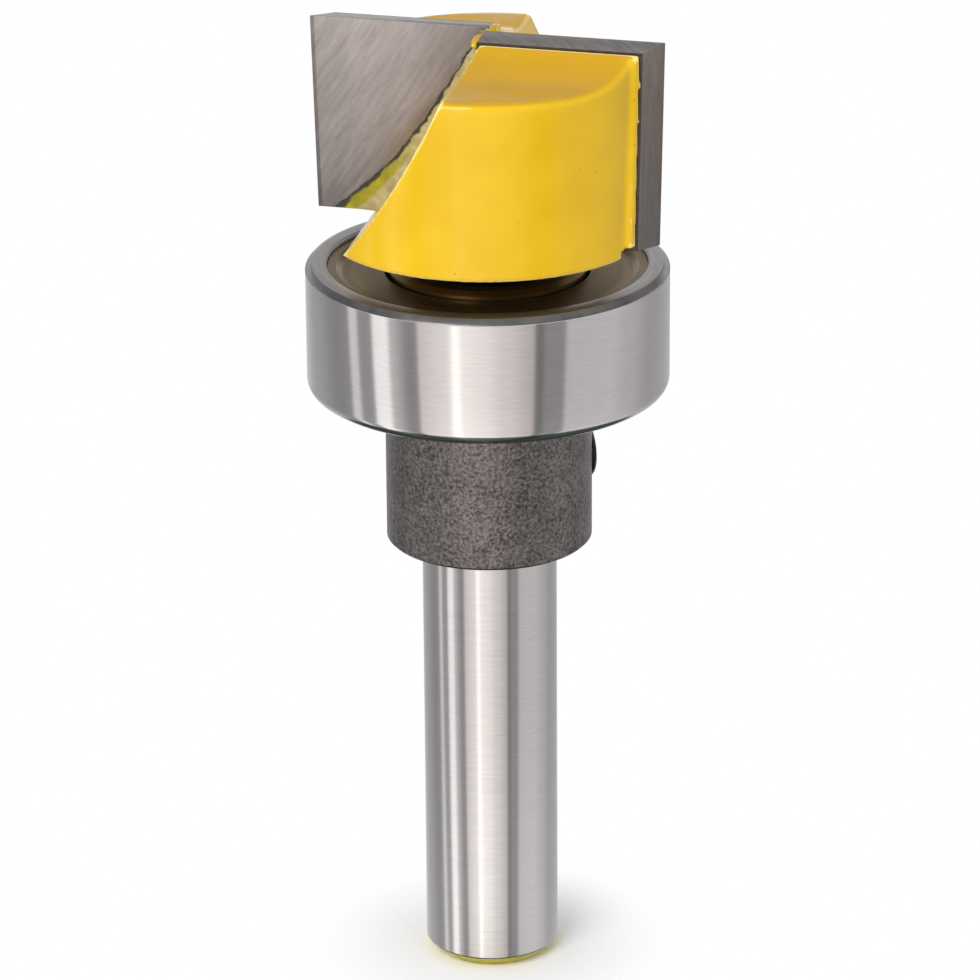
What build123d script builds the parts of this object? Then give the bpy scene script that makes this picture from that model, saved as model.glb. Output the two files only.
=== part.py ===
from build123d import *
import math
import os

# Two-flute router bit for template work: a steel shank carries a locked stop collar,
# a shielded guide bearing and a painted cutter head with two brazed carbide plates.
# Units are millimetres. The origin is the centre of the shank's free end and +Z runs
# up the axis to the cutting end. The tops of the two rake faces lie along the X axis,
# and the bit cuts turning counter-clockwise seen from above.

# Shank
shank_diameter = 12.0
shank_exposed_length = 40.4
shank_end_chamfer = 1.1
relief_groove_width = 1.2
relief_groove_depth = 0.3

# Stop collar and its set screw
collar_diameter = 18.3
collar_height = 14.2
collar_edge = 0.25
collar_bore_clearance = 0.02
screw_diameter = 5.0
screw_protrusion = 0.2
screw_azimuth = 30.0
screw_point_chamfer = 0.8
screw_end_chamfer = 0.3
screw_tip_gap = 0.02
screw_thread_clearance = 0.02
hex_across_flats = 2.5
hex_depth = 1.8

# Guide bearing: deep groove ball bearing with a pressed shield on each side
bearing_outer_diameter = 32.0
bearing_width = 11.5
bearing_bore_clearance = 0.02
outer_corner_low = 1.05
outer_corner_high = 0.5
inner_corner = 0.4
ball_diameter = 5.95
ball_count = 7
race_clearance = 0.03
race_conformity = 1.04
outer_race_depth = 1.18
inner_race_depth = 0.75

# Shields, seated on a shoulder in the outer ring
shield_seat_width = 1.3
shield_seat_depth = 1.6
shield_fit = 0.05
shield_thickness = 0.35
shield_recess = 0.75
shield_rim_recess = 0.35
shield_rim_width = 0.75
shield_cone_width = 0.55
shield_gap = 0.3

# Ball cage: two pressed ribbons, bent round the balls and riveted together between them
cage_thickness = 0.45
cage_width = 2.4
cage_pocket_clearance = 0.3
rivet_diameter = 1.0
rivet_head_diameter = 1.6
rivet_head_height = 0.35

# Neck between the bearing's inner ring and the head
neck_length = 2.75
neck_diameter = 13.6
neck_fillet = 0.6

# Cutter head
body_diameter = 28.7
body_top_drop = 2.45
rim_round = 0.7
body_bottom_edge = 0.15

# Carbide plates
cutting_diameter = 32.0
cutting_height = 17.8
plate_lift = 0.45
plate_thickness = 2.5
plate_embed = 1.6
rake_offset = 0.5
shear_angle = 4.0
top_clearance_angle = 7.5
side_relief_angle = 29.0
braze_thickness = 0.12

# Riser that backs each plate above the head's flat top
riser_land = 0.3
riser_length = 6.2

# Heel that carries the side relief on behind each plate
heel_length = 3.85

# Chip gullets
gullet_lean = 32.0
gullet_start = -0.4
gullet_hollow = 0.85

# Runout notch that the seat cutter leaves at the foot of each plate
notch_height = 0.75
notch_width = 0.75

shank_radius = shank_diameter / 2
collar_bottom = shank_exposed_length
collar_top = collar_bottom + collar_height
bearing_bottom = collar_top
bearing_top = bearing_bottom + bearing_width
bearing_middle = bearing_bottom + bearing_width / 2
head_bottom = bearing_top + neck_length
plate_bottom = head_bottom + plate_lift
head_top = plate_bottom + cutting_height
body_radius = body_diameter / 2
body_top = head_top - body_top_drop
cutting_radius = cutting_diameter / 2
bearing_radius = bearing_outer_diameter / 2
pitch_radius = (shank_radius + bearing_radius) / 2
ball_radius = ball_diameter / 2
groove_radius = ball_radius * race_conformity
inner_groove_centre = pitch_radius - ball_radius - race_clearance + groove_radius
outer_groove_centre = pitch_radius + ball_radius + race_clearance - groove_radius
inner_land = pitch_radius - ball_radius + inner_race_depth
outer_land = pitch_radius + ball_radius - outer_race_depth
shield_seat_radius = outer_land + shield_seat_width
ball_angles = [turn * 360 / ball_count for turn in range(ball_count)]

shear = math.radians(shear_angle)
lean = math.radians(gullet_lean)
top_clearance = math.radians(top_clearance_angle)
side_relief = math.radians(side_relief_angle)
edge_length = cutting_height / math.cos(shear)
edge_top = math.sqrt(cutting_radius**2 - rake_offset**2)
edge_foot = math.sqrt(cutting_radius**2 - (rake_offset + cutting_height * math.tan(shear)) ** 2)
beyond = cutting_diameter / 4

os.makedirs("parts", exist_ok=True)


def rake_plane(side, depth=0.0):
    """A flute's rake face, or a plane behind it: x out along the top edge, y up the cutting edge, z into the head."""
    outward = Vector(side, 0, 0)
    up_edge = Vector(0, side * math.sin(shear), math.cos(shear))
    backward = outward.cross(up_edge)
    start = Vector(0, -side * rake_offset, head_top)
    return Plane(origin=start + backward * depth, x_dir=outward, z_dir=backward)


def relief_direction(side):
    """From a cutting edge backwards along the relieved side of its plate, falling at the top clearance."""
    rake = rake_plane(side)
    inward = rake.x_dir * -math.tan(side_relief)
    return Vector(0, -side, 0) + inward - Vector(0, 0, 1) * math.tan(top_clearance)


def relieved_outline(inner, top):
    """Corners in the rake face of a block bounded by the cutting edge, open towards the shank."""
    foot = -edge_length - beyond
    spread = (edge_top - edge_foot) / edge_length
    return [(-inner, top), (-inner, foot), (edge_top + spread * foot, foot), (edge_top + spread * top, top)]


def wall_at(height, embed=0.0):
    """Where the gullet wall, or a line buried under it, crosses the rake face at a height above the top edge."""
    return gullet_start - embed / math.cos(lean) - height * math.tan(lean)


def plate_outline(overrun, inner_overrun):
    """Corners of a plate in its rake face. A seat is the same outline, overrun on its open sides."""
    knee = (wall_at(0, plate_embed)) / math.tan(lean)
    foot = -edge_length - overrun
    outer = cutting_radius + overrun
    return [
        (-inner_overrun, overrun),
        (0, knee),
        (wall_at(foot, plate_embed), foot),
        (outer, foot),
        (outer, overrun),
    ]


# Cutter body: shank, neck and head turned from one bar of steel, then milled. A shallow
# groove under the collar parts the bare shank from the ground seat of collar and bearing.
with BuildPart() as cutter_body:
    with BuildSketch(Plane.XZ):
        Polygon(
            (0, 0),
            (shank_radius, 0),
            (shank_radius, collar_bottom),
            (shank_radius - relief_groove_depth, collar_bottom),
            (shank_radius - relief_groove_depth, collar_bottom + relief_groove_width),
            (shank_radius, collar_bottom + relief_groove_width),
            (shank_radius, bearing_top),
            (neck_diameter / 2, bearing_top),
            (neck_diameter / 2, head_bottom),
            (body_radius, head_bottom),
            (body_radius, head_top),
            (0, head_top),
            align=None,
        )
    revolve(axis=Axis.Z)
    turned_edges = cutter_body.edges().filter_by(GeomType.CIRCLE).group_by(Axis.Z)
    chamfer(turned_edges[0], length=shank_end_chamfer)
    turned_edges = cutter_body.edges().filter_by(GeomType.CIRCLE)
    head_edges = turned_edges.filter_by_position(Axis.Z, head_bottom, head_bottom)
    chamfer(head_edges.sort_by(SortBy.RADIUS)[-1], length=body_bottom_edge)
    turned_edges = cutter_body.edges().filter_by(GeomType.CIRCLE)
    head_edges = turned_edges.filter_by_position(Axis.Z, head_bottom, head_bottom)
    fillet(head_edges.sort_by(SortBy.RADIUS)[0], radius=neck_fillet)

    # Crown: cut down to a flat on each side, up to the riser that backs the plate in a hollow ramp
    with BuildPart(mode=Mode.PRIVATE) as crown_waste:
        for side in (1, -1):
            crown_plane = Plane(
                origin=(0, -side * rake_offset, head_top), x_dir=(0, -side, 0), z_dir=(-side, 0, 0)
            )
            with BuildSketch(crown_plane):
                with BuildLine():
                    land_end = plate_thickness + braze_thickness + riser_land
                    ramp_end = land_end + riser_length
                    land = Line((0, 0), (land_end, -land_end * math.tan(top_clearance)))
                    ramp = TangentArc((ramp_end, -body_top_drop), land @ 1, tangent=(-1, 0))
                    Polyline(
                        ramp @ 0, (cutting_diameter, -body_top_drop), (cutting_diameter, 0), (0, 0)
                    )
                make_face()
            extrude(amount=cutting_diameter, both=True)
    add(crown_waste.part, mode=Mode.SUBTRACT)
    land_foot = head_top - plate_thickness * math.tan(top_clearance)
    crown_edges = cutter_body.edges().filter_by_position(Axis.Z, body_top, land_foot)
    fillet(crown_edges.filter_by(Axis.X, reverse=True), radius=rim_round)

    # Heels: behind each plate the head stands proud and keeps the plate's relief
    for side in (1, -1):
        with BuildPart(mode=Mode.PRIVATE) as heel:
            with BuildSketch(rake_plane(side)):
                Polygon(*relieved_outline(0, beyond), align=None)
            extrude(amount=heel_length, dir=relief_direction(side))
            with Locations((0, 0, head_bottom)):
                Cylinder(
                    cutting_diameter,
                    head_top - head_bottom,
                    align=(Align.CENTER, Align.CENTER, Align.MIN),
                    mode=Mode.INTERSECT,
                )
            add(crown_waste.part, mode=Mode.SUBTRACT)
        add(heel.part)

    # Gullets: in front of each rake face, a chip space whose leaning wall is slightly hollow
    wall_top = Vector(wall_at(0), 0)
    wall_foot = Vector(wall_at(-edge_length - plate_lift), -edge_length - plate_lift)
    wall_normal = Vector(math.cos(lean), math.sin(lean))
    for side in (1, -1):
        with BuildSketch(rake_plane(side)):
            with BuildLine():
                wall_middle = (wall_top + wall_foot) / 2 - wall_normal * gullet_hollow
                ThreePointArc(wall_top, wall_middle, wall_foot)
                Polyline(
                    wall_foot,
                    (wall_at(-edge_length - beyond), -edge_length - beyond),
                    (cutting_diameter, -edge_length - beyond),
                    (cutting_diameter, beyond),
                    (wall_at(beyond), beyond),
                    wall_top,
                )
            make_face()
        extrude(amount=-cutting_diameter, mode=Mode.SUBTRACT)

    # Seats for the plates, with the notch where the cutter runs out at the foot
    for side in (1, -1):
        with BuildSketch(rake_plane(side)):
            Polygon(*plate_outline(beyond, beyond), align=None)
        extrude(amount=plate_thickness + braze_thickness, mode=Mode.SUBTRACT)
        notch_foot = -edge_length - plate_lift
        with BuildSketch(rake_plane(side)):
            Polygon(
                (wall_at(notch_foot, plate_embed), notch_foot - plate_lift),
                (cutting_radius, notch_foot - plate_lift),
                (cutting_radius, notch_foot + notch_height),
                (wall_at(notch_foot, plate_embed), notch_foot + notch_height),
                align=None,
            )
        extrude(amount=plate_thickness + braze_thickness + notch_width, mode=Mode.SUBTRACT)

cutter_body.part.label = "cutter_body"
export_step(cutter_body.part, "parts/cutter_body.step")

# Carbide plates: ground flat, relieved behind the cutting edge and over the top
for side, letter in ((1, "b"), (-1, "a")):
    with BuildPart() as carbide_tip:
        with BuildSketch(rake_plane(side)):
            Polygon(*plate_outline(0, 0), align=None)
        extrude(amount=plate_thickness)
        with BuildSketch(rake_plane(side)):
            Polygon(*relieved_outline(beyond, 0), align=None)
        extrude(amount=beyond, dir=relief_direction(side), mode=Mode.INTERSECT)
    carbide_tip.part.label = "carbide_tip_" + letter
    export_step(carbide_tip.part, "parts/carbide_tip_" + letter + ".step")

    # Braze seam: the film of silver braze between the plate's back and its seat
    with BuildPart() as braze_seam:
        with BuildSketch(rake_plane(side, plate_thickness)):
            Polygon(*plate_outline(0, 0), align=None)
        extrude(amount=braze_thickness)
        with BuildSketch(rake_plane(side)):
            Polygon(*relieved_outline(beyond, 0), align=None)
        extrude(amount=beyond, dir=relief_direction(side), mode=Mode.INTERSECT)
    braze_seam.part.label = "braze_seam_" + letter
    export_step(braze_seam.part, "parts/braze_seam_" + letter + ".step")

# Bearing inner ring, clamped between the neck and the collar
with BuildPart() as inner_ring:
    with BuildSketch(Plane.XZ) as inner_section:
        with Locations((shank_radius + bearing_bore_clearance, bearing_bottom)):
            Rectangle(
                inner_land - shank_radius - bearing_bore_clearance,
                bearing_width,
                align=(Align.MIN, Align.MIN),
            )
        chamfer(inner_section.vertices(), length=inner_corner)
        with Locations((inner_groove_centre, bearing_middle)):
            Circle(groove_radius, mode=Mode.SUBTRACT)
    revolve(axis=Axis.Z)

inner_ring.part.label = "inner_ring"
export_step(inner_ring.part, "parts/inner_ring.step")

# Bearing outer ring: the surface that rolls along the template
with BuildPart() as outer_ring:
    with BuildSketch(Plane.XZ) as outer_section:
        with Locations((outer_land, bearing_bottom)):
            Rectangle(bearing_radius - outer_land, bearing_width, align=(Align.MIN, Align.MIN))
        outside = outer_section.vertices().group_by(Axis.X)[-1].sort_by(Axis.Y)
        fillet(outside[0], radius=outer_corner_low)
        top_corners = outer_section.vertices().group_by(Axis.Y)[-1].sort_by(Axis.X)
        chamfer(top_corners[-1], length=outer_corner_high)
        with Locations((outer_land, bearing_bottom), (outer_land, bearing_top)):
            Rectangle(2 * shield_seat_width, 2 * shield_seat_depth, mode=Mode.SUBTRACT)
        with Locations((outer_groove_centre, bearing_middle)):
            Circle(groove_radius, mode=Mode.SUBTRACT)
    revolve(axis=Axis.Z)

outer_ring.part.label = "outer_ring"
export_step(outer_ring.part, "parts/outer_ring.step")

# Shields: pressed sheet, its curled rim standing on the shoulder of the outer ring
rim_radius = shield_seat_radius - shield_fit
for name, face, inward in (("shield_upper", bearing_top, -1), ("shield_lower", bearing_bottom, 1)):
    with BuildPart() as shield:
        with BuildSketch(Plane.XZ):
            with BuildLine():
                cone_top = rim_radius - shield_rim_width
                cone_foot = cone_top - shield_cone_width
                Polyline(
                    (inner_land + shield_gap, face + inward * shield_recess),
                    (cone_foot, face + inward * shield_recess),
                    (cone_top, face + inward * shield_rim_recess),
                    (rim_radius, face + inward * shield_rim_recess),
                    (rim_radius, face + inward * shield_seat_depth),
                    (rim_radius - shield_thickness, face + inward * shield_seat_depth),
                    (
                        rim_radius - shield_thickness,
                        face + inward * (shield_rim_recess + shield_thickness),
                    ),
                    (cone_top, face + inward * (shield_rim_recess + shield_thickness)),
                    (cone_foot, face + inward * (shield_recess + shield_thickness)),
                    (
                        inner_land + shield_gap,
                        face + inward * (shield_recess + shield_thickness),
                    ),
                    close=True,
                )
            make_face()
        revolve(axis=Axis.Z)
    shield.part.label = name
    export_step(shield.part, "parts/" + name + ".step")

# Balls
for number, angle in enumerate(ball_angles, start=1):
    with BuildPart() as ball:
        with Locations(Vector(pitch_radius, 0, bearing_middle).rotate(Axis.Z, angle)):
            Sphere(ball_radius)
    ball.part.label = "ball_" + str(number)
    export_step(ball.part, "parts/ball_" + str(number) + ".step")

# Cage halves: a flat ribbon, bent into a round pocket over each ball
rivet_turn = 180 / ball_count
pocket_radius = ball_radius + cage_pocket_clearance
for name, upward in (("cage_upper", 1), ("cage_lower", -1)):
    with BuildPart() as cage_half:
        with BuildSketch(Plane.XY.offset(bearing_middle)):
            Circle(pitch_radius + cage_width / 2)
            Circle(pitch_radius - cage_width / 2, mode=Mode.SUBTRACT)
        extrude(amount=upward * cage_thickness)
        with PolarLocations(pitch_radius, ball_count):
            with Locations((0, 0, bearing_middle)):
                Cylinder(pocket_radius + cage_thickness, 2 * cage_width, rotation=(0, 90, 0))
        with BuildSketch(Plane.XY.offset(bearing_middle)):
            Circle(pitch_radius + cage_width / 2)
            Circle(pitch_radius - cage_width / 2, mode=Mode.SUBTRACT)
        extrude(amount=upward * bearing_width / 2, mode=Mode.INTERSECT)
        with PolarLocations(pitch_radius, ball_count):
            with Locations((0, 0, bearing_middle)):
                Cylinder(pocket_radius, 2 * cage_width, rotation=(0, 90, 0), mode=Mode.SUBTRACT)
        with PolarLocations(pitch_radius, ball_count, start_angle=rivet_turn):
            with Locations((0, 0, bearing_middle)):
                Cylinder(rivet_diameter / 2, bearing_width, mode=Mode.SUBTRACT)
    cage_half.part.label = name
    export_step(cage_half.part, "parts/" + name + ".step")

# Rivets, headed on both sides
with BuildPart() as cage_rivets:
    with BuildSketch(Plane.XY.offset(bearing_middle - cage_thickness)):
        with PolarLocations(pitch_radius, ball_count, start_angle=rivet_turn):
            Circle(rivet_diameter / 2)
    extrude(amount=2 * cage_thickness)
    for start, rise in ((cage_thickness, 1), (-cage_thickness, -1)):
        with BuildSketch(Plane.XY.offset(bearing_middle + start)):
            with PolarLocations(pitch_radius, ball_count, start_angle=rivet_turn):
                Circle(rivet_head_diameter / 2)
        extrude(amount=rise * rivet_head_height)

cage_rivets.part.label = "cage_rivets"
export_step(cage_rivets.part, "parts/cage_rivets.step")

# Stop collar: turned ring, bored for the shank and tapped through one side
screw_plane = Plane(
    origin=(0, 0, collar_bottom + collar_height / 2),
    z_dir=Vector(1, 0, 0).rotate(Axis.Z, screw_azimuth),
)
with BuildPart() as stop_collar:
    with BuildSketch(Plane.XY.offset(collar_bottom)):
        Circle(collar_diameter / 2)
        Circle(shank_radius + collar_bore_clearance, mode=Mode.SUBTRACT)
    extrude(amount=collar_height)
    chamfer(stop_collar.edges().filter_by(GeomType.CIRCLE), length=collar_edge)
    with BuildSketch(screw_plane):
        Circle(screw_diameter / 2 + screw_thread_clearance)
    extrude(amount=collar_diameter, mode=Mode.SUBTRACT)

stop_collar.part.label = "stop_collar"
export_step(stop_collar.part, "parts/stop_collar.step")

# Set screw: bears on the shank and stands a little out of the collar
screw_start = shank_radius + screw_tip_gap
screw_end = collar_diameter / 2 + screw_protrusion
with BuildPart() as set_screw:
    with BuildSketch(screw_plane.offset(screw_start)):
        Circle(screw_diameter / 2)
    extrude(amount=screw_end - screw_start)
    along_screw = Axis(screw_plane.origin, screw_plane.z_dir)
    chamfer(set_screw.edges().group_by(along_screw)[0], length=screw_point_chamfer)
    chamfer(set_screw.edges().group_by(along_screw)[-1], length=screw_end_chamfer)
    with BuildSketch(screw_plane.offset(screw_end)):
        RegularPolygon(hex_across_flats / 2, 6, major_radius=False)
    extrude(amount=-hex_depth, mode=Mode.SUBTRACT)

set_screw.part.label = "set_screw"
export_step(set_screw.part, "parts/set_screw.step")
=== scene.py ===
import math

import bmesh
import bpy
from mathutils import Matrix, Vector


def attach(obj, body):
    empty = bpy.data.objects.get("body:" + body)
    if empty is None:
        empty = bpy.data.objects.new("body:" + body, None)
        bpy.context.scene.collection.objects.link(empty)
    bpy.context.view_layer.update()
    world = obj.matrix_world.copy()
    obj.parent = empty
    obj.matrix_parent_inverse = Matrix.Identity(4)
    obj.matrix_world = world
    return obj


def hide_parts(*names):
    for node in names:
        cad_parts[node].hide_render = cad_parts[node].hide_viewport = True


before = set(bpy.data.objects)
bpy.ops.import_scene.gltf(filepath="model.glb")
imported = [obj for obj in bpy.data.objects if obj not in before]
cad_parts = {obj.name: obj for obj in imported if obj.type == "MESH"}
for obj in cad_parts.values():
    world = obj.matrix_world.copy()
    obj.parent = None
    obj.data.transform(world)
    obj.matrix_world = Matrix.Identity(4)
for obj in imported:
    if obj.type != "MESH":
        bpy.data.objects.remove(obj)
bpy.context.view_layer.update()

# Studio: the bit stands on its shank on a small white table, seen from a little above by a
# long lens. The table fades into the white of the room, and keeps the bit's shadow.
view_turn = math.radians(15.0)
view_rise = math.radians(21.152)
view_roll = math.radians(-0.413)
view_distance = 0.4638
aim_right, aim_height = 0.000073, 0.04452
right_hand = Vector((math.cos(view_turn), math.sin(view_turn), 0))
towards_camera = Vector((
    math.sin(view_turn) * math.cos(view_rise),
    -math.cos(view_turn) * math.cos(view_rise),
    math.sin(view_rise),
))
upright = towards_camera.cross(right_hand)
rolled_right = right_hand * math.cos(view_roll) + upright * math.sin(view_roll)
rolled_up = towards_camera.cross(rolled_right)
aim = right_hand * aim_right + Vector((0, 0, aim_height))
bpy.ops.object.camera_add()
camera = bpy.context.active_object
camera.name = "long_lens"
camera.data.lens = 191.3
camera.data.sensor_width = 36.0
camera.data.clip_start = 0.01
camera.data.clip_end = 10.0
seat = Matrix((rolled_right, rolled_up, towards_camera)).transposed().to_4x4()
seat.translation = aim + towards_camera * view_distance
camera.matrix_world = seat
bpy.context.scene.camera = camera


def add_node(tree, kind, inputs=None, **settings):
    """A shader node: each input is a number, a vector, a colour or another node's socket."""
    node = tree.nodes.new(kind)
    for name, value in settings.items():
        setattr(node, name, value)
    for label, term in (inputs or {}).items():
        socket = node.inputs[label]
        if isinstance(term, bpy.types.NodeSocket):
            tree.links.new(term, socket)
        elif socket.type == "RGBA":
            socket.default_value = (*term, 1)
        else:
            socket.default_value = term
    return node


def add_math(tree, operation, *terms):
    """A sum whose terms are numbers or sockets."""
    return add_node(tree, "ShaderNodeMath", dict(enumerate(terms)), operation=operation).outputs[0]


def add_range(tree, value, low, high, start=0.0, end=1.0, interpolation="LINEAR"):
    """A measure that goes from start to end as a value goes from low to high."""
    limits = {"Value": value, "From Min": low, "From Max": high, "To Min": start, "To Max": end}
    node = add_node(tree, "ShaderNodeMapRange", limits, interpolation_type=interpolation)
    return node.outputs["Result"]


def add_ramp(tree, value, levels, interpolation="LINEAR"):
    """A colour ramp with a stop for each (position, colour)."""
    node = add_node(tree, "ShaderNodeValToRGB", {"Fac": value})
    node.color_ramp.interpolation = interpolation
    stops = node.color_ramp.elements
    while len(stops) < len(levels):
        stops.new(0.5)
    for stop, (position, colour) in zip(stops, levels):
        stop.position = position
    for stop, (position, colour) in zip(stops, levels):
        stop.color = (*colour, 1)
    return node.outputs["Color"]


def mix_colours(tree, share, first, second, blend="MIX"):
    """Two colours, the second laid over the first by a share."""
    colours = {"Factor": share, "A": first, "B": second}
    node = add_node(tree, "ShaderNodeMix", colours, data_type="RGBA", blend_type=blend)
    return node.outputs["Result"]


# Room light: panels all round at bench height, given by their bearing in degrees to the right
# of the camera: white ones in front, narrow ones at the left and a grey wall at the right. The
# walls above go by height alone, and below the panels dim to a dark green floor.
panel_levels = [
    (-180, 0.7), (-136, 0.49), (-109, 0.36), (-98, 0.4), (-96, 0.95), (-90.5, 0.95),
    (-88, 0.42), (-78, 0.42), (-76, 1.35), (-66, 1.4), (-63, 0.72), (-50, 0.36), (-45.5, 0.36),
    (-43.5, 0.95), (-27, 1.15), (-23, 1.35), (-22, 1.95), (-18, 1.85), (-16.5, 1.42), (-3, 1.28),
    (10, 1.0), (28.5, 0.72), (30, 0.24), (34, 0.26), (36, 0.38), (48.5, 0.38), (50, 0.74),
    (82, 0.76), (100, 0.65), (123, 0.49), (180, 0.55),
]
upper_levels = [(0, 1.35), (0.16, 1.3), (0.24, 0.55), (0.45, 0.42), (0.7, 0.7), (1, 0.8)]
lower_levels = [
    (0, (1, 1, 1)), (0.4, (1, 1, 1)), (0.56, (1.25, 1.25, 1.25)), (0.64, (1.3, 1.3, 1.3)),
    (0.7, (0.16, 0.2, 0.18)), (1, (0.08, 0.1, 0.09)),
]


def panel_colour(degrees, level):
    """The panels in front of the bit are a little warm, and the others are grey."""
    warm = 0.04 if -45 < degrees < 29 else 0.0
    return level, level * (1 - warm), level * (1 - 1.7 * warm)


room = bpy.data.worlds.new("studio_room")
bpy.context.scene.world = room
room.use_nodes = True
tree = room.node_tree
tree.nodes.clear()
gaze = add_node(tree, "ShaderNodeTexCoord").outputs["Generated"]
to_camera = (math.sin(view_turn), -math.cos(view_turn), 0)
rightwards, forwards = (
    add_node(tree, "ShaderNodeVectorMath", {0: gaze, 1: side}, operation="DOT_PRODUCT")
    for side in (right_hand, to_camera)
)
bearing = add_math(tree, "ARCTAN2", rightwards.outputs["Value"], forwards.outputs["Value"])
height = add_node(tree, "ShaderNodeSeparateXYZ", {0: gaze}).outputs["Z"]
panels = add_ramp(
    tree,
    add_range(tree, bearing, -math.pi, math.pi),
    [((degrees + 180) / 360, panel_colour(degrees, level)) for degrees, level in panel_levels],
    "EASE",
)
upper_walls = add_ramp(tree, height, [(rise, (level,) * 3) for rise, level in upper_levels])
lower_walls = add_ramp(tree, add_math(tree, "MULTIPLY", height, -1.0), lower_levels)
dimmed = mix_colours(tree, 1.0, panels, lower_walls, "MULTIPLY")
walls = mix_colours(tree, add_range(tree, height, -0.02, 0.02), dimmed, upper_walls)
lit = add_node(tree, "ShaderNodeBackground", {"Color": walls})
white = add_node(tree, "ShaderNodeBackground", {"Color": (1, 1, 1)})
seen = add_node(tree, "ShaderNodeLightPath").outputs["Is Camera Ray"]
choose = add_node(tree, "ShaderNodeMixShader", {0: seen, 1: lit.outputs[0], 2: white.outputs[0]})
add_node(tree, "ShaderNodeOutputWorld", {"Surface": choose.outputs[0]})

# Key lamp: a large soft box high in front, a little to the left. It lights the enamel and lays
# the soft shadow on the table.
lamp_left, lamp_offset, lamp_size = -0.25, Vector((0.1, -0.5, 0.45)), 0.35
bpy.ops.object.light_add(type="AREA", location=aim + right_hand * lamp_left + lamp_offset)
key_lamp = bpy.context.active_object
key_lamp.name = "key_soft_box"
key_lamp.data.shape = "RECTANGLE"
key_lamp.data.size = lamp_size
key_lamp.data.size_y = lamp_size
key_lamp.data.energy = 2.6
key_lamp.rotation_euler = (key_lamp.location - aim).to_track_quat("Z", "Y").to_euler()

# Table: a round white board that thins out into the room's white a little way from the shank.
# It takes the shadow and shows in no reflection.
table_radius, table_rim = 0.11, 0.03
fade_start, fade_end = 0.0055, 0.018
bpy.ops.object.select_all(action="DESELECT")
bpy.ops.mesh.primitive_circle_add(
    vertices=96, radius=table_radius, fill_type="NGON", location=(0, 0, 0)
)
table = bpy.context.active_object
table.name = "white_table"
bpy.ops.object.mode_set(mode="EDIT")
bpy.ops.mesh.inset(thickness=table_rim)
bpy.ops.object.mode_set(mode="OBJECT")
table_paint = bpy.data.materials.new("white_table")
table_paint.use_nodes = True
tree = table_paint.node_tree
tree.nodes.clear()
place = add_node(tree, "ShaderNodeTexCoord").outputs["Object"]
reach = add_node(tree, "ShaderNodeVectorMath", {0: place}, operation="LENGTH").outputs["Value"]
fade = add_range(tree, reach, fade_start, fade_end, interpolation="SMOOTHSTEP")
board = add_node(tree, "ShaderNodeBsdfDiffuse", {"Color": (0.98, 0.98, 0.98)})
clear = add_node(tree, "ShaderNodeBsdfTransparent")
mix = add_node(tree, "ShaderNodeMixShader", {0: fade, 1: board.outputs[0], 2: clear.outputs[0]})
add_node(tree, "ShaderNodeOutputMaterial", {"Surface": mix.outputs[0]})
table.data.materials.append(table_paint)
table.visible_glossy = False


# Shank: a bar of tool steel ground to 12 mm, the part that the collet grips. Its end has a
# chamfer and a lathe centre, and a band of the head's paint from the tray it was dipped in.
shank_radius = 0.006
shank_end_chamfer = 0.0011
shank_reach = 0.0661
paint_height = shank_end_chamfer * 0.9
centre_inset, centre_depth, centre_taper = 0.0034, 0.0012, 0.25


def turn_form(name, outline, sides=160, closed=False):
    """A turned piece: a ring that is drawn out and resized from point to point of its outline."""
    bpy.ops.object.select_all(action="DESELECT")
    radius, height = outline[0]
    bpy.ops.mesh.primitive_circle_add(vertices=sides, radius=radius, location=(0, 0, height))
    piece = bpy.context.active_object
    piece.name = name
    bpy.ops.object.transform_apply(location=True)
    bpy.ops.object.mode_set(mode="EDIT")
    if not closed:
        bpy.ops.mesh.edge_face_add()
    for next_radius, next_height in outline[1:]:
        rise = (0, 0, next_height - height)
        bpy.ops.mesh.extrude_region_move(TRANSFORM_OT_translate={"value": rise})
        share = next_radius / radius
        bpy.ops.transform.resize(value=(share, share, 1), center_override=(0, 0, next_height))
        radius, height = next_radius, next_height
    bpy.ops.mesh.select_all(action="SELECT")
    bpy.ops.mesh.remove_doubles(threshold=1e-7)
    bpy.ops.mesh.normals_make_consistent(inside=False)
    bpy.ops.object.mode_set(mode="OBJECT")
    return piece


def soften_edges(piece, width, segments=2, angle=28.0):
    """A small round on every sharp edge, and smooth shading between them."""
    bpy.ops.object.select_all(action="DESELECT")
    piece.select_set(True)
    bpy.context.view_layer.objects.active = piece
    rounding = piece.modifiers.new("edge_round", "BEVEL")
    rounding.width = width
    rounding.segments = segments
    rounding.limit_method = "ANGLE"
    rounding.angle_limit = math.radians(angle)
    rounding.use_clamp_overlap = True
    bpy.ops.object.modifier_apply(modifier="edge_round")
    bpy.ops.object.shade_smooth_by_angle(angle=math.radians(35))


def feed(tree, *links):
    """Each link is (from socket, to socket)."""
    for start, end in links:
        tree.links.new(start, end)


def add_noise(tree, place, scale, detail=2.0):
    """A cloudy mask from 0 to 1, with so many lumps to a metre."""
    inputs = {"Vector": place, "Scale": scale, "Detail": detail}
    return add_node(tree, "ShaderNodeTexNoise", inputs).outputs["Fac"]


def new_group(name, *numbers):
    """A shader group that takes a place and named numbers and gives a height and a tone."""
    group = bpy.data.node_groups.new(name, "ShaderNodeTree")
    group.interface.new_socket("Place", in_out="INPUT", socket_type="NodeSocketVector")
    for label, value in numbers:
        socket = group.interface.new_socket(label, in_out="INPUT", socket_type="NodeSocketFloat")
        socket.default_value = value
    for label in ("Height", "Tone"):
        group.interface.new_socket(label, in_out="OUTPUT", socket_type="NodeSocketFloat")
    taken, given = group.nodes.new("NodeGroupInput"), group.nodes.new("NodeGroupOutput")
    return group, taken.outputs, given.inputs


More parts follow.
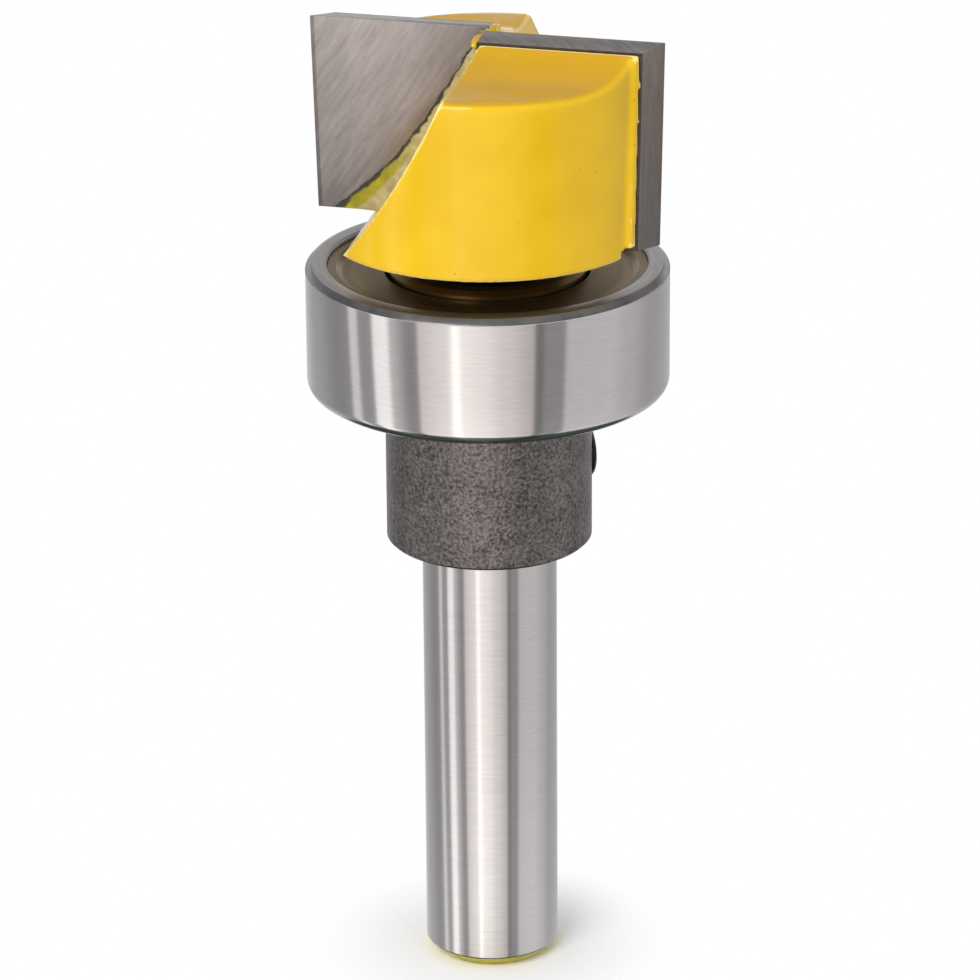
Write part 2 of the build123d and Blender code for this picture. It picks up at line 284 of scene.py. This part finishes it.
# Grinding lines run round the axis: fine in height, long round the turn
grinding, taken, given = new_group("grinding_lines", ("Pitch", 0.0001), ("Drift", 0.001))
split = add_node(grinding, "ShaderNodeSeparateXYZ", {0: taken["Place"]}).outputs
level_place = add_node(grinding, "ShaderNodeCombineXYZ", {"X": split["X"], "Y": split["Y"]})
from_axis = add_node(
    grinding, "ShaderNodeVectorMath", {0: level_place.outputs[0]}, operation="LENGTH"
).outputs["Value"]
along = add_math(grinding, "ADD", from_axis, split["Z"])
stretched = add_node(grinding, "ShaderNodeCombineXYZ", {
    "X": add_math(grinding, "DIVIDE", split["X"], taken["Drift"]),
    "Y": add_math(grinding, "DIVIDE", split["Y"], taken["Drift"]),
    "Z": add_math(grinding, "DIVIDE", along, taken["Pitch"]),
}).outputs[0]
feed(
    grinding,
    (add_noise(grinding, stretched, 1.0, 3.0), given["Height"]),
    (add_noise(grinding, stretched, 0.23), given["Tone"]),
)


def start_finish(name, roughness, metallic=1.0):
    """A material with its shader, and the object coordinates that its patterns read."""
    finish = bpy.data.materials.new(name)
    finish.use_nodes = True
    skin = finish.node_tree.nodes["Principled BSDF"]
    skin.inputs["Roughness"].default_value = roughness
    skin.inputs["Metallic"].default_value = metallic
    place = add_node(finish.node_tree, "ShaderNodeTexCoord")
    return finish, finish.node_tree, skin, place.outputs["Object"]


def shade_between(tree, mask, dark, light, low=0.3, high=0.7):
    """A colour that goes from one tone to another as a mask goes from low to high."""
    return mix_colours(tree, add_range(tree, mask, low, high), dark, light)


def raise_surface(tree, skin, height, depth):
    """A bump of a given depth in metres."""
    bump = add_node(tree, "ShaderNodeBump", {"Height": height, "Distance": depth, "Strength": 1.0})
    feed(tree, (bump.outputs["Normal"], skin.inputs["Normal"]))


def turned_steel(name, dark, light, roughness, pitch, drift, depth, grain=0.7):
    """Steel with circular grinding lines: the gloss is drawn out across them."""
    finish, tree, skin, place = start_finish(name, roughness)
    skin.inputs["Anisotropic"].default_value = grain
    skin.inputs["Anisotropic Rotation"].default_value = 0.25
    lines = add_node(tree, "ShaderNodeGroup", node_tree=grinding)
    lines.inputs["Pitch"].default_value = pitch
    lines.inputs["Drift"].default_value = drift
    feed(
        tree,
        (place, lines.inputs["Place"]),
        (shade_between(tree, lines.outputs["Tone"], dark, light), skin.inputs["Base Color"]),
    )
    raise_surface(tree, skin, lines.outputs["Height"], depth)
    return finish


def mottled(name, dark, light, roughness, scale, detail=2.0, metallic=1.0, depth=None):
    """A finish that is darker and lighter in small clouds, and uneven where it has a depth."""
    finish, tree, skin, place = start_finish(name, roughness, metallic)
    clouds = add_noise(tree, place, scale, detail)
    feed(tree, (shade_between(tree, clouds, dark, light), skin.inputs["Base Color"]))
    if depth:
        raise_surface(tree, skin, clouds, depth)
    return finish


def give(piece, *finishes):
    """The piece's material slots, in order."""
    piece.data.materials.clear()
    for finish in finishes:
        piece.data.materials.append(finish)


shank = turn_form("shank", [
    (shank_radius - shank_end_chamfer, 0.0),
    (shank_radius, shank_end_chamfer),
    (shank_radius, shank_reach),
])
bpy.ops.object.mode_set(mode="EDIT")
bpy.ops.mesh.select_all(action="DESELECT")
bpy.ops.object.mode_set(mode="OBJECT")
for face in shank.data.polygons:
    face.select = face.normal.z < -0.99
bpy.ops.object.mode_set(mode="EDIT")
bpy.ops.mesh.inset(thickness=centre_inset)
bpy.ops.mesh.extrude_region_move(TRANSFORM_OT_translate={"value": (0, 0, centre_depth)})
bpy.ops.transform.resize(
    value=(centre_taper, centre_taper, 1), center_override=(0, 0, centre_depth)
)
bpy.ops.object.mode_set(mode="OBJECT")
soften_edges(shank, width=0.00008)
shank_steel = turned_steel(
    "shank_steel", dark=(0.57, 0.55, 0.55), light=(0.61, 0.59, 0.58),
    roughness=0.17, pitch=0.00004, drift=0.0005, depth=0.00000015,
)
end_paint = mottled(
    "end_paint", dark=(0.5, 0.44, 0.06), light=(0.7, 0.6, 0.12),
    roughness=0.3, scale=900.0, metallic=0.0,
)
give(shank, shank_steel, end_paint)
for face in shank.data.polygons:
    face.material_index = int(face.center.z < paint_height)
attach(shank, "bit")
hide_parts("cutter_body")


# Cutter head: milled from the same bar as the shank, then dipped in thick yellow enamel that
# runs round the edges. The neck under it stays bare, and the plates are brazed on.
head_foot = 0.06612
neck_top = 0.0687
neck_round = 0.0072
coat_grain = 0.00021


def copy_node(node, name):
    """A piece of its own with a CAD node's shape, its loose triangles merged."""
    bpy.ops.object.select_all(action="DESELECT")
    piece = bpy.data.objects.new(name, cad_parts[node].data.copy())
    bpy.context.collection.objects.link(piece)
    bpy.context.view_layer.objects.active = piece
    piece.select_set(True)
    bpy.ops.mesh.customdata_custom_splitnormals_clear()
    bpy.ops.object.mode_set(mode="EDIT")
    bpy.ops.mesh.select_all(action="SELECT")
    bpy.ops.mesh.remove_doubles(threshold=1e-6)
    bpy.ops.mesh.dissolve_limited(angle_limit=math.radians(0.6))
    bpy.ops.object.mode_set(mode="OBJECT")
    return piece


def mark_sharpness(piece):
    """Stores on each vertex how far the surface falls away round it: high on outer edges."""
    net = bmesh.new()
    net.from_mesh(piece.data)
    bulges = []
    for knot in net.verts:
        spokes = [(edge.other_vert(knot).co - knot.co).normalized() for edge in knot.link_edges]
        bulges.append(-sum(knot.normal.dot(spoke) for spoke in spokes) / len(spokes))
    sharpness = piece.data.attributes.new("sharpness", "FLOAT", "POINT")
    for knot in net.verts:
        near = [bulges[edge.other_vert(knot).index] for edge in knot.link_edges]
        sharpness.data[knot.index].value = (bulges[knot.index] + sum(near)) / (1 + len(near))
    net.free()


head = copy_node("cutter_body", "cutter_head")
bpy.ops.object.mode_set(mode="EDIT")
bpy.ops.mesh.select_all(action="SELECT")
bpy.ops.mesh.bisect(
    plane_co=(0, 0, head_foot), plane_no=(0, 0, 1), use_fill=True, clear_inner=True
)
bpy.ops.object.mode_set(mode="OBJECT")
coat = head.modifiers.new("coat", "REMESH")
coat.mode = "VOXEL"
coat.voxel_size = coat_grain
bpy.ops.object.modifier_apply(modifier="coat")
flow = head.modifiers.new("flow", "SMOOTH")
flow.factor = 0.5
flow.iterations = 4
bpy.ops.object.modifier_apply(modifier="flow")
bpy.ops.object.shade_smooth()
mark_sharpness(head)

# Faces that look up get a darker tone, painted shade for the dim ceiling the crown reflects; sharp
# edges get a paler tone, thinner enamel with a painted highlight; and the coat holds specks of
# dirt
enamel, tree, skin, place = start_finish("yellow_enamel", 0.16, 0.0)
skin.inputs["Specular IOR Level"].default_value = 0.3
skin.inputs["Coat Weight"].default_value = 0.12
skin.inputs["Coat Roughness"].default_value = 0.06
clouds = add_noise(tree, place, 170.0)
body_tone = shade_between(tree, clouds, (0.78, 0.475, 0.006), (0.86, 0.545, 0.012))
normal = add_node(tree, "ShaderNodeNewGeometry").outputs["Normal"]
facing_up = add_node(tree, "ShaderNodeSeparateXYZ", {0: normal}).outputs["Z"]
# Painted shade: faces that look up are darkened, and the same share lays the swell on the crown
top_shade_mask = add_range(tree, facing_up, 0.45, 0.92, interpolation="SMOOTHSTEP")
sharpness = add_node(tree, "ShaderNodeAttribute", attribute_name="sharpness").outputs["Fac"]
# Paler on sharp edges: thinner enamel, with a painted highlight along them
edge = add_range(tree, sharpness, 0.073, 0.125)
cells = add_node(tree, "ShaderNodeTexVoronoi", {"Vector": place, "Scale": 600.0})
speck = add_range(tree, cells.outputs["Distance"], 0.055, 0.02)
top_shaded_tone = mix_colours(tree, top_shade_mask, body_tone, (0.62, 0.34, 0.001))
edge_highlight_tone = mix_colours(tree, edge, top_shaded_tone, (0.97, 0.78, 0.26))
specked_tone = mix_colours(tree, speck, edge_highlight_tone, (0.3, 0.18, 0.01))
feed(tree, (specked_tone, skin.inputs["Base Color"]))
crown_swell = add_math(tree, "MULTIPLY", add_noise(tree, place, 210.0, 0.0), top_shade_mask)
waves = add_noise(tree, place, 420.0, 1.0)
coat_height = add_math(tree, "MULTIPLY_ADD", crown_swell, 16.0, waves)
raise_surface(tree, skin, coat_height, depth=0.00003)
# The bare neck under the head is near black: painted shade under the head
neck_painted_shade_steel = turned_steel(
    "neck_painted_shade_steel", dark=(0.035, 0.028, 0.02), light=(0.06, 0.05, 0.035),
    roughness=0.22, pitch=0.00012, drift=0.002, depth=0.000002,
)
give(head, enamel, neck_painted_shade_steel)
for face in head.data.polygons:
    inside = math.hypot(face.center.x, face.center.y) < neck_round
    face.material_index = int(inside and face.center.z < neck_top)
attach(head, "bit")
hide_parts("cutter_body")


# Runs of enamel: the dip that covers the head pooled at the inner end of each plate, and set
# there as a soft lump.
run_size = (0.0005, 0.0014, 0.00055)
run_place = (-0.0002, -0.0018, 0.08645)


def make_lumpy(piece, size, *strengths):
    """Uneven all over: a cloud pattern of a given size moves the surface along each named axis."""
    lumps = bpy.data.textures.new("lumps", "CLOUDS")
    lumps.noise_scale = size
    lumps.noise_depth = 4
    for axis, strength in strengths:
        rag = piece.modifiers.new("rag", "DISPLACE")
        rag.texture = lumps
        rag.texture_coords = "LOCAL"
        rag.direction = axis
        rag.strength = strength
        rag.mid_level = 0.5
        bpy.ops.object.modifier_apply(modifier=rag.name)


for letter, turn in (("a", math.pi), ("b", 0.0)):
    bpy.ops.object.select_all(action="DESELECT")
    bpy.ops.mesh.primitive_ico_sphere_add(subdivisions=5, radius=1, location=(0, 0, 0))
    run = bpy.context.active_object
    run.name = "enamel_run_" + letter
    bpy.ops.object.mode_set(mode="EDIT")
    bpy.ops.mesh.select_all(action="SELECT")
    bpy.ops.transform.resize(value=run_size)
    bpy.ops.object.mode_set(mode="OBJECT")
    make_lumpy(run, 0.0006, ("X", 0.0004), ("Z", 0.0003))
    run.matrix_world = Matrix.Rotation(turn, 4, "Z") @ Matrix.Translation(run_place)
    bpy.ops.object.transform_apply(location=True, rotation=True, scale=True)
    bpy.ops.object.shade_smooth()
    give(run, enamel)
    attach(run, "bit")


# Carbide plates: pressed and sintered tungsten carbide, ground flat on the rake face and
# relieved on the other sides, so each side shows its own straight scratches.
scratch_stretch = (1500, 13000, 13000)
inner_start, inner_end = 0.002, 0.012
land_start, land_end = 0.01555, 0.0157
scratches, taken, given = new_group("straight_scratches")
thin = add_noise(scratches, taken["Place"], 1.0, 4.0)
wide = add_noise(scratches, taken["Place"], 0.17, 3.0)
blotch = add_node(
    scratches, "ShaderNodeMix", {"Factor": 0.35, "A": wide, "B": thin}, data_type="FLOAT"
)
feed(scratches, (thin, given["Height"]), (blotch.outputs["Result"], given["Tone"]))


def ground_carbide(name, turn, dark, light, roughness, inner_shade=1.0, land_shade=1.0):
    """Carbide whose scratches run along the piece's X once the pattern is turned by three angles.
    It gets painted shade towards the axis and on the narrow land at the cutting edge."""
    finish, tree, skin, place = start_finish(name, roughness)
    turned = [math.radians(angle) for angle in turn]
    lay = add_node(tree, "ShaderNodeMapping", {"Vector": place, "Rotation": turned}).outputs[0]
    stretched = add_node(
        tree, "ShaderNodeVectorMath", {0: lay, 1: scratch_stretch}, operation="MULTIPLY"
    )
    marks = add_node(tree, "ShaderNodeGroup", node_tree=scratches)
    feed(tree, (stretched.outputs[0], marks.inputs["Place"]))
    ground = shade_between(tree, marks.outputs["Tone"], dark, light)
    flat = add_node(tree, "ShaderNodeVectorMath", {0: place, 1: (1, 1, 0)}, operation="MULTIPLY")
    from_axis = add_node(
        tree, "ShaderNodeVectorMath", {0: flat.outputs[0]}, operation="LENGTH"
    ).outputs["Value"]
    # Painted shade: darker towards the axis and on the narrow land at the cutting edge
    inner = add_range(tree, from_axis, inner_start, inner_end, inner_shade, 1.0)
    land = add_range(tree, from_axis, land_start, land_end, 1.0, land_shade)
    shade = add_math(tree, "MULTIPLY", inner, land)
    shaded = add_node(tree, "ShaderNodeVectorMath", {0: ground, "Scale": shade}, operation="SCALE")
    feed(tree, (shaded.outputs[0], skin.inputs["Base Color"]))
    raise_surface(tree, skin, marks.outputs["Height"], depth=0.000006)
    return finish


# One carbide in three tones by face: painted light and shade, the top darker than the rake and the
# sides darkest
rake_ground = ground_carbide(
    "carbide_rake", turn=(0, 57, 0), dark=(0.32, 0.28, 0.265), light=(0.47, 0.42, 0.4),
    roughness=0.42, inner_shade=0.62, land_shade=0.6,
)
top_ground_painted_shade = ground_carbide(
    "carbide_top_painted_shade", turn=(0, 0, 50), dark=(0.2, 0.18, 0.17), light=(0.36, 0.33, 0.32),
    roughness=0.36,
)
side_ground_painted_shade = ground_carbide(
    "carbide_side_painted_shade", turn=(0, 85, 0), dark=(0.16, 0.138, 0.125), light=(0.225, 0.2, 0.185),
    roughness=0.4,
)
for letter in ("a", "b"):
    plate = copy_node("carbide_tip_" + letter, "carbide_plate_" + letter)
    soften_edges(plate, width=0.00005)
    give(plate, rake_ground, top_ground_painted_shade, side_ground_painted_shade)
    for face in plate.data.polygons:
        if abs(face.normal.z) > 0.9:
            face.material_index = 1
        elif abs(face.normal.x) > 0.5:
            face.material_index = 2
    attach(plate, "bit")
    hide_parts("carbide_tip_" + letter)


# Braze seams: the film of silver solder behind each plate, drawn in while it was red hot. Only
# its edge shows, as a line of burnt flux.
burnt_flux = mottled(
    "burnt_flux", dark=(0.012, 0.007, 0.003), light=(0.06, 0.035, 0.01),
    roughness=0.45, scale=1900.0, detail=3.0, metallic=0.0, depth=0.00003,
)
for letter in ("a", "b"):
    give(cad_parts["braze_seam_" + letter], burnt_flux)


# Braze beads: the solder that ran out in front, a ragged fillet with flux and enamel on it. It
# fills the corner where each rake face meets its gullet wall, and widens towards the foot.
head_crown = 0.0871
rake_offset = 0.0005
shear = math.radians(4.0)
wall_hollow, hollow_out, hollow_up = 0.06885, 0.06298, 0.02689
bead_start, bead_length = 0.00005, 0.0177
bead_hill, bead_rim, wall_lap = 0.0003, 0.00007, 0.0001
bead_marks = [
    (0.0, 0.0005), (0.0012, 0.0009), (0.00265, 0.0012), (0.008, 0.0017), (0.0127, 0.0022),
    (0.0158, 0.0031), (0.018, 0.004),
]


def wall_line(depth):
    """How far out the hollow gullet wall stands at a depth below the crown."""
    return hollow_out - math.sqrt(wall_hollow**2 - (depth + hollow_up) ** 2)


def bead_width(depth):
    """The bead's width at a depth below the crown, between two of its marks."""
    for (start, narrow), (end, broad) in zip(bead_marks, bead_marks[1:]):
        if start <= depth <= end:
            return narrow + (broad - narrow) * (depth - start) / (end - start)


# Its UV runs across from the wall and up from the foot: tan near the wall, olive in a wedge
# at the foot, and burnt dark along the rim
braze, tree, skin, place = start_finish("silver_braze", 0.4, 0.35)
grit = add_noise(tree, place, 2600.0, 4.0)
patch = add_noise(tree, place, 700.0, 3.0)
spread = add_node(tree, "ShaderNodeTexCoord").outputs["UV"]
split = add_node(tree, "ShaderNodeSeparateXYZ", {0: spread}).outputs
wander = add_math(tree, "MULTIPLY_ADD", patch, 0.5, split["X"])
ragged_out = add_math(tree, "SUBTRACT", wander, 0.25)
burnt_rim = add_range(tree, ragged_out, 0.8, 0.9)
from_wall = add_range(tree, ragged_out, 0.35, 0.5)
near_foot = add_range(tree, split["Y"], 0.4, 0.22)
wedge = add_math(tree, "MULTIPLY", from_wall, near_foot)
tan = shade_between(tree, patch, (0.36, 0.29, 0.12), (0.62, 0.54, 0.26))
olive = shade_between(tree, patch, (0.2, 0.19, 0.012), (0.5, 0.42, 0.012))
bead_tone = mix_colours(tree, wedge, tan, olive)
rimmed_tone = mix_colours(tree, burnt_rim, bead_tone, (0.05, 0.045, 0.02))
feed(tree, (rimmed_tone, skin.inputs["Base Color"]))
raise_surface(tree, skin, grit, depth=0.00004)
rake_seat = Matrix((
    (1, 0, 0, 0),
    (0, math.sin(shear), math.cos(shear), -rake_offset),
    (0, math.cos(shear), -math.sin(shear), head_crown),
    (0, 0, 0, 1),
))
for letter, turn in (("a", math.pi), ("b", 0.0)):
    bpy.ops.object.select_all(action="DESELECT")
    bpy.ops.mesh.primitive_grid_add(x_subdivisions=10, y_subdivisions=120, size=2)
    bead = bpy.context.active_object
    bead.name = "braze_bead_" + letter
    for point in bead.data.vertices:
        across = (point.co.x + 1) / 2
        down = (1 - point.co.y) / 2 * bead_length + bead_start
        out = wall_line(down) - wall_lap + (bead_width(down) + wall_lap) * across
        point.co = Vector((out, -down, bead_hill * (1 - across) ** 2 + bead_rim))
    make_lumpy(bead, 0.0007, ("X", 0.00045), ("Z", 0.00014))
    bead.matrix_world = Matrix.Rotation(turn, 4, "Z") @ rake_seat
    bpy.ops.object.transform_apply(location=True, rotation=True, scale=True)
    bpy.ops.object.mode_set(mode="EDIT")
    bpy.ops.mesh.select_all(action="SELECT")
    bpy.ops.mesh.normals_make_consistent(inside=False)
    bpy.ops.object.mode_set(mode="OBJECT")
    bpy.ops.object.shade_smooth()
    give(bead, braze)
    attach(bead, "bit")


# Guide bearing: rings of hardened bearing steel. The outer ring is ground all over and rolls
# along the template, and the inner ring is clamped between the neck and the stop collar.
bearing_low, bearing_high = 0.0546, 0.0661
bearing_middle = (bearing_low + bearing_high) / 2
ring_outside = 0.015995
corner_round, face_chamfer = 0.00105, 0.0005
shield_seat, seat_depth = 0.014095, 0.0016
shoulder = 0.012795
groove_centre, groove_radius, groove_half = 0.010911, 0.003094, 0.002454


def arc_points(centre_r, centre_z, radius, start, end, steps):
    """Points on a quarter or part turn in an outline, angles in degrees from straight out."""
    angles = [math.radians(start + (end - start) * step / steps) for step in range(steps + 1)]
    return [
        (centre_r + radius * math.cos(angle), centre_z + radius * math.sin(angle))
        for angle in angles
    ]


outer = turn_form("outer_race", [
    (shield_seat, bearing_low),
    *arc_points(ring_outside - corner_round, bearing_low + corner_round, corner_round, -90, 0, 6),
    (ring_outside, bearing_high - face_chamfer),
    (ring_outside - face_chamfer, bearing_high),
    (shield_seat, bearing_high),
    (shield_seat, bearing_high - seat_depth),
    (shoulder, bearing_high - seat_depth),
    (shoulder, bearing_middle + groove_half),
    *arc_points(groove_centre, bearing_middle, groove_radius, 50, -50, 8),
    (shoulder, bearing_middle - groove_half),
    (shoulder, bearing_low + seat_depth),
    (shield_seat, bearing_low + seat_depth),
    (shield_seat, bearing_low),
], sides=192, closed=True)
soften_edges(outer, width=0.00009, segments=3)
race_steel = turned_steel(
    "race_steel", dark=(0.57, 0.545, 0.54), light=(0.61, 0.585, 0.58),
    roughness=0.12, pitch=0.00004, drift=0.0004, depth=0.0000002,
)
# The flat end faces are ground matte; their darker tone, and the darker still top chamfer, are
# painted shade
race_face_painted_shade = turned_steel(
    "race_face_painted_shade", dark=(0.33, 0.315, 0.31), light=(0.47, 0.45, 0.44),
    roughness=0.34, pitch=0.00006, drift=0.0009, depth=0.0000012, grain=0.0,
)
race_chamfer_painted_shade = turned_steel(
    "race_chamfer_painted_shade", dark=(0.12, 0.115, 0.115), light=(0.21, 0.2, 0.2),
    roughness=0.3, pitch=0.00008, drift=0.0006, depth=0.000002, grain=0.0,
)
give(outer, race_steel, race_face_painted_shade, race_chamfer_painted_shade)
for face in outer.data.polygons:
    tilt = abs(face.normal.z)
    if tilt > 0.98:
        face.material_index = 1
    elif tilt > 0.3 and face.center.z > bearing_high - face_chamfer - 0.0001:
        face.material_index = 2
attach(outer, "guide_bearing")
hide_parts("outer_ring")
# Dark brown on the inner ring: painted shade under the head, tinted as a painted reflection of its
# yellow
inner_painted_shade_steel = turned_steel(
    "inner_race_painted_shade", dark=(0.13, 0.085, 0.03), light=(0.2, 0.14, 0.06),
    roughness=0.3, pitch=0.0001, drift=0.0018, depth=0.000001,
)
give(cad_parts["inner_ring"], inner_painted_shade_steel)


# Balls and cage: seven polished balls of hard steel, kept apart by two pressed ribbons of
# sheet steel that are riveted together between the balls.
ball_steel = mottled(
    "ball_steel", dark=(0.62, 0.62, 0.62), light=(0.74, 0.74, 0.73), roughness=0.06, scale=600.0
)
cage_steel = mottled(
    "cage_steel", dark=(0.4, 0.39, 0.36), light=(0.55, 0.54, 0.5),
    roughness=0.34, scale=1800.0, detail=3.0, depth=0.00001,
)
for number in range(1, 8):
    give(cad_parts["ball_" + str(number)], ball_steel)
for node in ("cage_upper", "cage_lower", "cage_rivets"):
    give(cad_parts[node], cage_steel)


# Shields: thin sheet steel pressed into the outer ring on both sides to keep the dust out and
# the grease in. Their dark brown is painted shade under the head, with a painted reflection of its
# yellow.
shield_steel = turned_steel(
    "shield_steel", dark=(0.15, 0.1, 0.035), light=(0.24, 0.17, 0.08),
    roughness=0.36, pitch=0.0002, drift=0.003, depth=0.000002, grain=0.3,
)
for node in ("shield_upper", "shield_lower"):
    give(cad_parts[node], shield_steel)


# Stop collar: a turned steel ring, blasted and blackened, that locks the bearing from below.
# One set screw holds it on the shank.
collar_steel, tree, skin, place = start_finish("blasted_steel", 0.33)
pits = add_noise(tree, place, 3400.0, 3.0)
stain = add_noise(tree, place, 500.0, 3.0)
grain = add_node(
    tree, "ShaderNodeMix", {"Factor": 0.75, "A": stain, "B": pits}, data_type="FLOAT"
).outputs["Result"]
blasted_tone = shade_between(
    tree, grain, (0.07, 0.062, 0.06), (0.25, 0.225, 0.219), low=0.36, high=0.64
)
feed(tree, (blasted_tone, skin.inputs["Base Color"]))
raise_surface(tree, skin, pits, depth=0.00011)
give(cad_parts["stop_collar"], collar_steel)


# Set screw: a black hexagon-socket screw with a turned point, screwed through the collar
# against the shank. It stands a little out of the collar.
screw_height = 0.0475
screw_turn = math.radians(30.0)
screw_start, screw_end = 0.00602, 0.00935
crest, root, thread_pitch = 0.0025, 0.00225, 0.0005
point_taper, point_length, end_chamfer = 0.0008, 0.00075, 0.0003
hexagon_half, hexagon_length = 0.00125, 0.0036
turns = [(crest - point_taper, screw_start), (crest - 0.00005, screw_start + point_length)]
while turns[-1][1] < screw_end - 2 * thread_pitch:
    turns += [(root, turns[-1][1] + thread_pitch / 2), (crest, turns[-1][1] + thread_pitch)]
turns += [(crest, screw_end - end_chamfer), (crest - end_chamfer, screw_end)]
screw = turn_form("socket_screw", turns, sides=72)
bpy.ops.object.select_all(action="DESELECT")
bpy.ops.mesh.primitive_cylinder_add(
    vertices=6, radius=hexagon_half / math.cos(math.pi / 6), depth=hexagon_length,
    location=(0, 0, screw_end),
)
socket = bpy.context.active_object
bpy.ops.object.select_all(action="DESELECT")
screw.select_set(True)
bpy.context.view_layer.objects.active = screw
hollow = screw.modifiers.new("socket", "BOOLEAN")
hollow.operation = "DIFFERENCE"
hollow.object = socket
bpy.ops.object.modifier_apply(modifier="socket")
bpy.data.objects.remove(socket)
soften_edges(screw, width=0.00006, angle=40.0)
screw.matrix_world = (
    Matrix.Translation((0, 0, screw_height))
    @ Matrix.Rotation(screw_turn, 4, "Z")
    @ Matrix.Rotation(math.pi / 2, 4, "Y")
)
bpy.ops.object.transform_apply(location=True, rotation=True, scale=True)
black_steel = mottled(
    "black_oxide", dark=(0.012, 0.012, 0.013), light=(0.03, 0.03, 0.03),
    roughness=0.36, scale=1400.0, depth=0.00001,
)
give(screw, black_steel)
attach(screw, "bit")
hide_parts("set_screw")

bpy.context.scene.view_settings.view_transform = "Standard"
